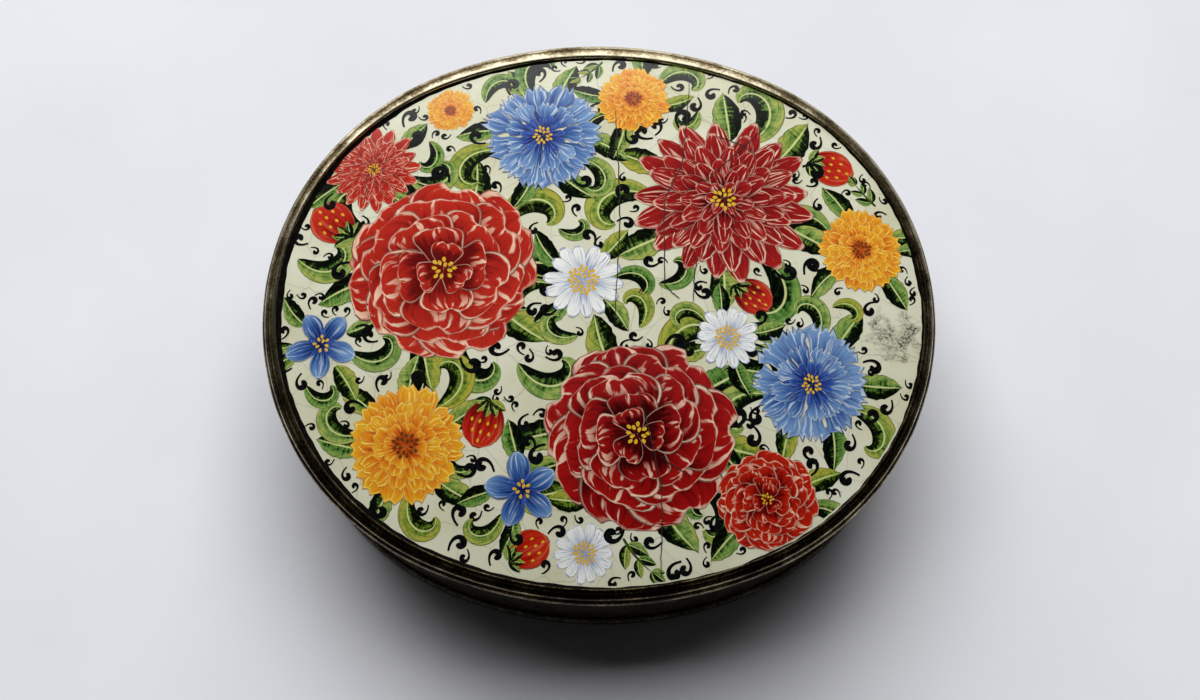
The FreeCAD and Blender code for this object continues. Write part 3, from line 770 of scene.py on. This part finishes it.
def leafy_stem(x, y, heading, length, bend, pairs, leaf_size, lift):
    """A curved stem with leaves on both sides, smaller towards the tip, and one leaf at the end."""
    share = np.linspace(0.18, 0.95, pairs)
    lean = heading + np.arctan(2 * bend * share)
    at_x, at_y = off(x, y, heading, length * share, length * bend * share ** 2)
    size = leaf_size * (1.15 - 0.6 * share)
    for number, side in enumerate((-1, 1)):
        leaf(at_x, at_y, lean + side * 0.85 + jitter(pairs, 0.12), size,
             lift + LAYER * (number + share) * 0.7, bend=-side * 0.25)
    leaf(*off(x, y, heading, length * 0.97, length * bend), heading + math.atan(2 * bend), leaf_size * 0.7,
         lift + LAYER * 1.5)
    lay("stems", x=x, y=y, heading=heading, length=length, half_width=0.1 + 0.012 * length, bend=bend,
        rise=0.1, blunt=1.2, point=0.8, lift=lift + LAYER * 1.6)


CURL_STEPS = 26
CURL_LENGTH = 2.6
CURLED = {"tendrils": [], "scroll_leaves": []}

# a curl's whole turn in radians, how its turning grows, its shortening step and its columns
CURL_WAYS = {"tendrils": (6.2, 1.7, 0.78, 3), "scroll_leaves": (4.0, 1.5, 0.62, 7)}


def curl(kind, x, y, heading, size, hand, lift):
    """A tendril is a thin tail that winds in to a drop; a scroll leaf swells and rolls its tip."""
    CURLED[kind].append((x, y, heading, size, hand, lift))


def ribbon(x, y, way, half, s):
    """A strip about paths: each point lies off its path, square to the way, by half the width times s."""
    return (x[:, :, None] - (np.sin(way) * half)[:, :, None] * s,
            y[:, :, None] + (np.cos(way) * half)[:, :, None] * s)


def curl_shape(kind, start=0):
    """Curls as ribbons: the way turns by sweep times share^growth and the steps shorten, so they wind in.

    A tendril's half width grows with share^1.6 to a round end. A scroll leaf's is a half wave of share^0.8,
    and its s runs so that the shaded half lies inside the bend.
    """
    sweep, growth, shortening, columns = CURL_WAYS[kind]
    x, y, heading, size, hand, lift = np.array(CURLED[kind][start:]).T[:, :, None]
    share = np.linspace(0, 1, CURL_STEPS)[None]
    way = heading + hand * sweep * share ** growth
    step = size * CURL_LENGTH * (1 - shortening * share) / CURL_STEPS
    path_x = x + np.cumsum(np.cos(way) * step, 1)
    path_y = y + np.cumsum(np.sin(way) * step, 1)
    if kind == "tendrils":
        half = size * (0.05 + 0.23 * share ** 1.6) * np.sqrt(1.02 - share ** 14)
    else:
        half = size * (0.02 + 0.26 * np.sin(math.pi * np.minimum(share, 0.985) ** 0.8) ** 0.8)
    s = np.linspace(-1, 1, columns)
    at_x, at_y = ribbon(path_x, path_y, way, half, s)
    zero = 0 * at_x
    return at_x, at_y, lift[:, :, None] + zero, -s * hand[:, :, None] + zero, share[:, :, None] + zero


# placing: cells that note what is covered, heights of the films, and the room that each kind of mark needs

CELL = 0.25
GRID_X = np.arange(-HALF_LENGTH, HALF_LENGTH, CELL)
GRID_Y = np.arange(-HALF_WIDTH, HALF_WIDTH, CELL)
COVER_ROWS, COVER_COLUMNS = 26, 13
LEAF_LIFT, LEAF_STEP, LEAF_FINE_STEP = 0.02, 0.0012, 0.0001
SCROLL_LIFT = 0.021
FILL_LIFT, FILL_STEP = 0.028, 0.00005
BERRY_LIFT, BERRY_STEP = 0.03, 0.0002
TENDRIL_LIFT = 0.045
HEAD_LIFT, HEAD_STEP = 0.05, 0.002
LARGE_HEAD = 7
LEAF_ROOT, TENDRIL_ROOT = 0.72, 0.96
LEAF_SIZE, SCROLL_SIZE, TENDRIL_SIZE = (0.34, 3.4), (0.3, 3.2), (0.1, 1.8)
FLOWER_ROOM, BERRY_ROOM, SCROLL_ROOM, SPRIG_ROOM, LEAST_ROOM = 2.3, 1.9, 1.7, 1.5, 0.62
MOST_FILLS = 420
EDGE_MARGIN = 0.3


def mark_cover(cover, x, y):
    """Mark the cells that points fall in."""
    column = np.clip(((x + HALF_LENGTH) / CELL).astype(int), 0, len(GRID_X) - 1)
    row = np.clip(((y + HALF_WIDTH) / CELL).astype(int), 0, len(GRID_Y) - 1)
    cover[row.ravel(), column.ravel()] = True


def clearance(cover):
    """How many cells each free cell lies from cover: the free area is peeled a cell at a time."""
    free = ~cover
    depth = np.zeros(cover.shape, int)
    number = 0
    while free.any():
        depth += free
        number += 1
        inner = free[1:-1, 1:-1] & free[:-2, 1:-1] & free[2:, 1:-1] & free[1:-1, :-2] & free[1:-1, 2:]
        if number % 2:
            inner &= free[:-2, :-2] & free[2:, 2:] & free[:-2, 2:] & free[2:, :-2]
        free = np.zeros(cover.shape, bool)
        free[1:-1, 1:-1] = inner
    return depth


def laid_points(kinds_before):
    """Points of all marks laid since a count was taken, finely enough to mark cover."""
    found = []
    for kind, tables in LAID.items():
        for table in tables[kinds_before.get(kind, 0):]:
            x, y = petal_shape(table, COVER_ROWS, COVER_COLUMNS)[:2]
            found.append(np.stack([x.ravel(), y.ravel()]))
    return np.concatenate(found, 1) if found else np.zeros((2, 0))


def beside(radius, size):
    """Length of a mark beside a flower: a share of the flower's radius and a set length."""
    return radius * size[0] + size[1]


def main_heads():
    """Large flowers as (flower, kind, x, y, radius), each over leaves and with tendrils at its edge."""
    heads = (
        (rose, "red_petals", -19.5, 4.5, 12.0), (dahlia, "crimson_rays", 15.5, 14.5, 11.5),
        (rose, "crimson_petals", 5.0, -16.5, 11.5), (cornflower, "blue_petals", 26.5, -9.5, 7.2),
        (cornflower, "blue_petals", -7.5, 23.0, 7.4), (marigold, "orange_petals", -23.5, -18.0, 7.4),
        (daisy, "white_petals", -2.0, 3.0, 4.9), (rose, "red_petals", 21.0, -24.0, 6.0),
        (marigold, "orange_petals", 33.0, 8.5, 5.6), (dahlia, "red_rays", -29.0, 18.5, 6.0),
        (star, "blue_petals", -34.5, -5.0, 4.6), (marigold, "orange_petals", 4.0, 28.5, 4.8),
        (star, "blue_petals", -9.0, -23.5, 4.8), (daisy, "white_petals", 16.0, -4.0, 4.0))
    for number, (flower, kind, x, y, radius) in enumerate(heads):
        start = RNG.uniform(0, 6)
        count = 6 if radius > LARGE_HEAD else 4
        out = start + np.arange(count) * 2 * math.pi / count + jitter(count, 0.25)
        root = radius * LEAF_ROOT
        leaf(x + root * np.cos(out), y + root * np.sin(out), out + jitter(count, 0.3),
             beside(radius, LEAF_SIZE) + jitter(count, 0.6),
             LEAF_LIFT + LEAF_STEP * number + LEAF_FINE_STEP * np.arange(count),
             bend=jitter(count, 0.35), frill=0.05, waves=5)
        for place, way in enumerate((out + math.pi / count)[::2]):
            hand = 1 if (place + number) % 2 else -1
            curl("scroll_leaves", *off(x, y, way, root), way - 0.5 * hand,
                 beside(radius, SCROLL_SIZE) + jitter(1, 0.8)[0], hand, SCROLL_LIFT + LEAF_STEP * number)
        flower(kind, x, y, radius, HEAD_LIFT + HEAD_STEP * number, start)
        for spray in range(count - 2):
            away = start + (spray + 0.5) * 2 * math.pi / (count - 2) + jitter(1, 0.3)[0]
            curl("tendrils", *off(x, y, away, radius * TENDRIL_ROOT), away, beside(radius, TENDRIL_SIZE),
                 RNG.choice((-1, 1)), TENDRIL_LIFT)


def berries_by_hand():
    """Five strawberries between the large flowers, as (x, y, size, heading)."""
    places = ((-31.5, 9.0, 6.6, 2.4), (-13.0, -12.5, 6.2, 4.4), (26.5, 20.5, 6.0, -0.3),
              (-10.5, -32.0, 5.6, 0.5), (17.0, 3.0, 5.4, -0.6))
    for number, (x, y, size, heading) in enumerate(places):
        berry(x, y, size, heading, BERRY_LIFT + BERRY_STEP * number)


def fill_in():
    """Fill what is left, the widest gap first, with small flowers, berries, sprigs, leaves and tendrils."""
    small = ((star, "blue_petals"), (daisy, "white_petals"), (marigold, "orange_petals"))
    cover = field_share(*np.meshgrid(GRID_X, GRID_Y), FIELD_INSET + EDGE_MARGIN) > 1
    cover |= np.hypot(*np.meshgrid(GRID_X - WORN_PATCH[0], GRID_Y - WORN_PATCH[1])) < BARE_RADIUS
    mark_cover(cover, *laid_points({}))
    mark_cover(cover, *curl_shape("scroll_leaves")[:2])
    for number in range(MOST_FILLS):
        depth = clearance(cover)
        row, column = np.unravel_index(np.argmax(depth), depth.shape)
        room = depth[row, column] * CELL
        if room < LEAST_ROOM:
            break
        x, y = GRID_X[column], GRID_Y[row]
        before = {kind: len(tables) for kind, tables in LAID.items()}
        turn = RNG.uniform(0, 2 * math.pi)
        lift = FILL_LIFT + FILL_STEP * number
        pick = RNG.integers(0, 6)
        if room > FLOWER_ROOM and pick < len(small):
            flower, kind = small[pick]
            flower(kind, x, y, room * 0.98, lift, turn)
        elif room > BERRY_ROOM and pick == 3:
            berry(*off(x, y, turn, -room), room * 2, turn, lift)
        elif room > SPRIG_ROOM and pick == 4:
            leafy_stem(*off(x, y, turn, -room), turn, room * 2, jitter(1, 0.3)[0], 3, room, lift)
        else:
            hand = 1 if pick % 2 else -1
            kind = "scroll_leaves" if room > SCROLL_ROOM else "tendrils"
            curl(kind, *off(x, y, turn, -room * 0.9), turn, room * 1.8, hand, lift)
            reach = np.linspace(0, room * 0.8, 8)
            angle = np.linspace(0, 2 * math.pi, 20)
            mark_cover(cover, x + np.outer(reach, np.cos(angle)), y + np.outer(reach, np.sin(angle)))
            mark_cover(cover, *curl_shape(kind, -1)[:2])
        mark_cover(cover, *laid_points(before))
        cover[row, column] = True


CRACK_HALF_WIDTH = 0.065
CRACK_LIFT = 0.125
CRACK_STEPS = 40
CRACK_CROOK = 0.18
CRACK_WAVE = 5
CRACK_SEEDS = (20, 40)

# hairline cracks on the lid as (x, y) of a few points each
CRACKS = (
    ((1.7, 27.0), (2.5, 12.5), (2.0, -3.0)),
    ((11.4, 34.3), (10.4, 19.4), (8.0, 14.0), (8.1, 2.5), (10.0, 0.8)),
    ((12.1, 6.5), (11.7, 0.4)), ((21.0, 25.0), (13.0, 16.6)), ((14.8, 23.3), (18.0, 22.2), (19.8, 20.7)),
    ((-29.8, 17.5), (-30.0, 13.4)), ((4.6, -9.0), (8.1, -23.0), (8.1, -33.6)), ((7.9, -19.2), (11.5, -21.6)))


def crack_shape():
    """Hairline cracks as ribbons: straight runs between a crack's points, made crooked by a few sines."""
    share = np.linspace(0, 1, CRACK_STEPS)
    lines = []
    for number, points in enumerate(CRACKS):
        corner = np.array(points)
        along = np.linspace(0, 1, len(corner))
        length = np.hypot(*np.diff(corner, axis=0).T).sum()
        wave = share * length / CRACK_WAVE
        free = np.sin(math.pi * share) ** 0.3
        lines.append([np.interp(share, along, place) + CRACK_CROOK * unevenness(wave, seed + number) * free
                      for place, seed in zip(corner.T, CRACK_SEEDS)])
    x, y = np.array(lines).transpose(1, 0, 2)
    way = np.arctan2(np.gradient(y, axis=1), np.gradient(x, axis=1))
    half = CRACK_HALF_WIDTH * (0.35 + 0.65 * np.sin(math.pi * share) ** 0.5)[None]
    s = np.array([-1.0, 1.0])
    at_x, at_y = ribbon(x, y, way, half, s)
    zero = 0 * at_x
    return at_x, at_y, CRACK_LIFT + zero, s + zero, share[None, :, None] + zero


def build_painting():
    """Lay all marks, then make one piece of each kind: its paint, and rows and columns of a mark's grid."""
    main_heads()
    berries_by_hand()
    fill_in()
    vermilion = painted_petal("vermilion_enamel_colour", "#5E0504", "#A0170A", "#B82410", "#EFCFB0")
    crimson = painted_petal("crimson_enamel_colour", "#360305", "#800A0B", "#9C1310", "#EDCBB2")
    ripe = painted_petal("red_berry_enamel_colour", "#5E0505", "#AE1A0C", "#BE2A14", "#E8A070", pale=0.25)
    cobalt = painted_petal("cobalt_enamel_colour", "#12245A", "#325796", "#7396C2", "#D9E1DF", pale=0.6)
    navy = painted_petal("dark_cobalt_enamel_colour", "#0C1236", "#1B2C72", "#2C4FA0", "#6A8AC8")
    yellow = painted_petal("iron_yellow_enamel_colour", "#A83A0A", "#D9761A", "#E4A822", "#F0D668")
    white = painted_petal("white_enamel_colour", "#8E9CBC", "#E3E6E2", "#F1F1EB", "#6F7CA4")
    green = painted_leaf("green_enamel_colour")
    paints = {
        "red_petals": (vermilion, 15, 23),
        "crimson_petals": (crimson, 15, 23),
        "red_rays": (vermilion, 8, 5),
        "crimson_rays": (crimson, 9, 5),
        "berries": (ripe, 9, 9),
        "blue_petals": (cobalt, 9, 9),
        "navy_petals": (navy, 6, 4),
        "orange_petals": (yellow, 8, 6),
        "white_petals": (white, 8, 6),
        "leaves": (green, 13, 7),
        "stems": (painted_line("dark_green_enamel_line", "#16240E", "#4A6A22"), 12, 3),
        "gold_seeds": (painted_line("yellow_enamel_dots", "#C58A18", "#E8CC3C"), 5, 4),
        "brown_seeds": (painted_line("brown_enamel_dots", "#3A1A0C", "#8A4A18"), 5, 4)}
    for kind, tables in LAID.items():
        material, rows, columns = paints[kind]
        make_films(kind, petal_shape(np.concatenate(tables, 1), rows, columns), material)
    make_films("scroll_leaves", curl_shape("scroll_leaves"), green)
    make_films("tendrils", curl_shape("tendrils"), painted_line("black_enamel_line", "#050606", "#121416"))
    make_films("hairline_cracks", crack_shape(), painted_line("dirt_in_cracks", "#1B1814", "#45413A"))


build_metal()
build_plaque()
build_grime_and_shadow()
build_painting()
for node in ("base_knuckle_left", "base_knuckle_middle", "base_knuckle_right", "lid_knuckle_left",
             "lid_knuckle_right"):
    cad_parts[node].data.materials[0] = DARK_SILVER
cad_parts["hinge_pin"].data.materials[0] = PIN_WIRE


# stage, light and camera, lengths in metres but for the camera's

FLOOR_HALF = 2.5
LAMP_AIM = (0.0, 0.0, 0.02)
WINDOW = {"place": (-0.161, 0.757, 0.458), "size": (1.0, 0.5), "watts": 3.2}
SOFTBOX = {"place": (-0.05, 0.581, 1.059), "size": (1.15, 0.97), "watts": 14.5}
ROOM_HEIGHT, ROOM_DEPTH = (0.0, 0.7), (0.0, 0.9)
ROOM_FRONT, ROOM_BEHIND, ROOM_LEAST = 0.02, 0.95, 0.009
ELEVATION_DEG, ASKEW_DEG, DISTANCE = 72.99, 0.9, 320.55
AIM_RIGHT, AIM_BELOW, AIM_HEIGHT = 0.14, 4.08, 22.0
LENS, SENSOR = 76.11, 36.0


def build_stage():
    """Pale paper ground in a dim room, a window behind the box and a softbox without glare above it."""
    mesh = bpy.data.meshes.new("floor")
    corners = [(x * FLOOR_HALF, y * FLOOR_HALF, 0) for x, y in ((-1, -1), (1, -1), (1, 1), (-1, 1))]
    mesh.from_pydata(corners, [], [(0, 1, 2, 3)])
    floor = stand("floor", mesh)
    paper = mottled("paper_ground", [(0.3, "#E9EAF1"), (0.7, "#EFF0F5")], 30.0, Roughness=0.9)
    mesh.materials.append(paper)
    build_room()
    add_lamp("window", **WINDOW)
    add_lamp("softbox", **SOFTBOX).visible_glossy = False


def build_room():
    """Walls that are dim overhead and in front, and paler towards the horizon and the window's side."""
    world = bpy.data.worlds.new("room")
    bpy.context.scene.world = world
    world.use_nodes = True
    tree = world.node_tree
    way = add_node(tree, "SeparateXYZ", {"Vector": add_node(tree, "TexCoord").outputs["Generated"]}).outputs
    low = ranged(way["Z"], ROOM_HEIGHT, 1.0, 0.0)
    glow = figured("MULTIPLY", low, ranged(way["Y"], ROOM_DEPTH, ROOM_FRONT, ROOM_BEHIND))
    walls = tree.nodes["Background"]
    walls.inputs["Color"].default_value = linear("#F1F1EE")
    tree.links.new(figured("ADD", glow, ROOM_LEAST), walls.inputs["Strength"])


def add_lamp(name, place, size, watts):
    """A rectangular soft lamp that looks at the box."""
    lamp = bpy.data.lights.new(name, "AREA")
    lamp.shape = "RECTANGLE"
    lamp.size, lamp.size_y = size
    lamp.energy = watts
    holder = stand(name, lamp)
    turn_to(holder, place, LAMP_AIM)
    return holder


def turn_to(holder, place, aim):
    """Put a lamp or camera at a place, looking at a point."""
    holder.location = place
    holder.rotation_euler = (Vector(aim) - Vector(place)).to_track_quat("-Z", "Y").to_euler()


def build_camera():
    """Looks down over the front of the lid, so that the rim's outline lies as in the photograph."""
    elevation, askew = math.radians(ELEVATION_DEG), math.radians(ASKEW_DEG)
    right = np.array([math.cos(askew), math.sin(askew), 0])
    front = np.array([math.sin(askew), -math.cos(askew), 0])
    back = front * math.cos(elevation) + np.array([0, 0, math.sin(elevation)])
    below = front * math.sin(elevation) - np.array([0, 0, math.cos(elevation)])
    aim = right * AIM_RIGHT + below * AIM_BELOW + np.array([0, 0, AIM_HEIGHT])
    lens = bpy.data.cameras.new("camera")
    lens.lens = LENS
    lens.sensor_width = SENSOR
    lens.sensor_fit = "HORIZONTAL"
    camera = stand("camera", lens)
    turn_to(camera, tuple((aim + back * DISTANCE) * MM), tuple(aim * MM))
    bpy.context.scene.camera = camera


build_stage()
build_camera()
bpy.context.scene.view_settings.view_transform = "Standard"
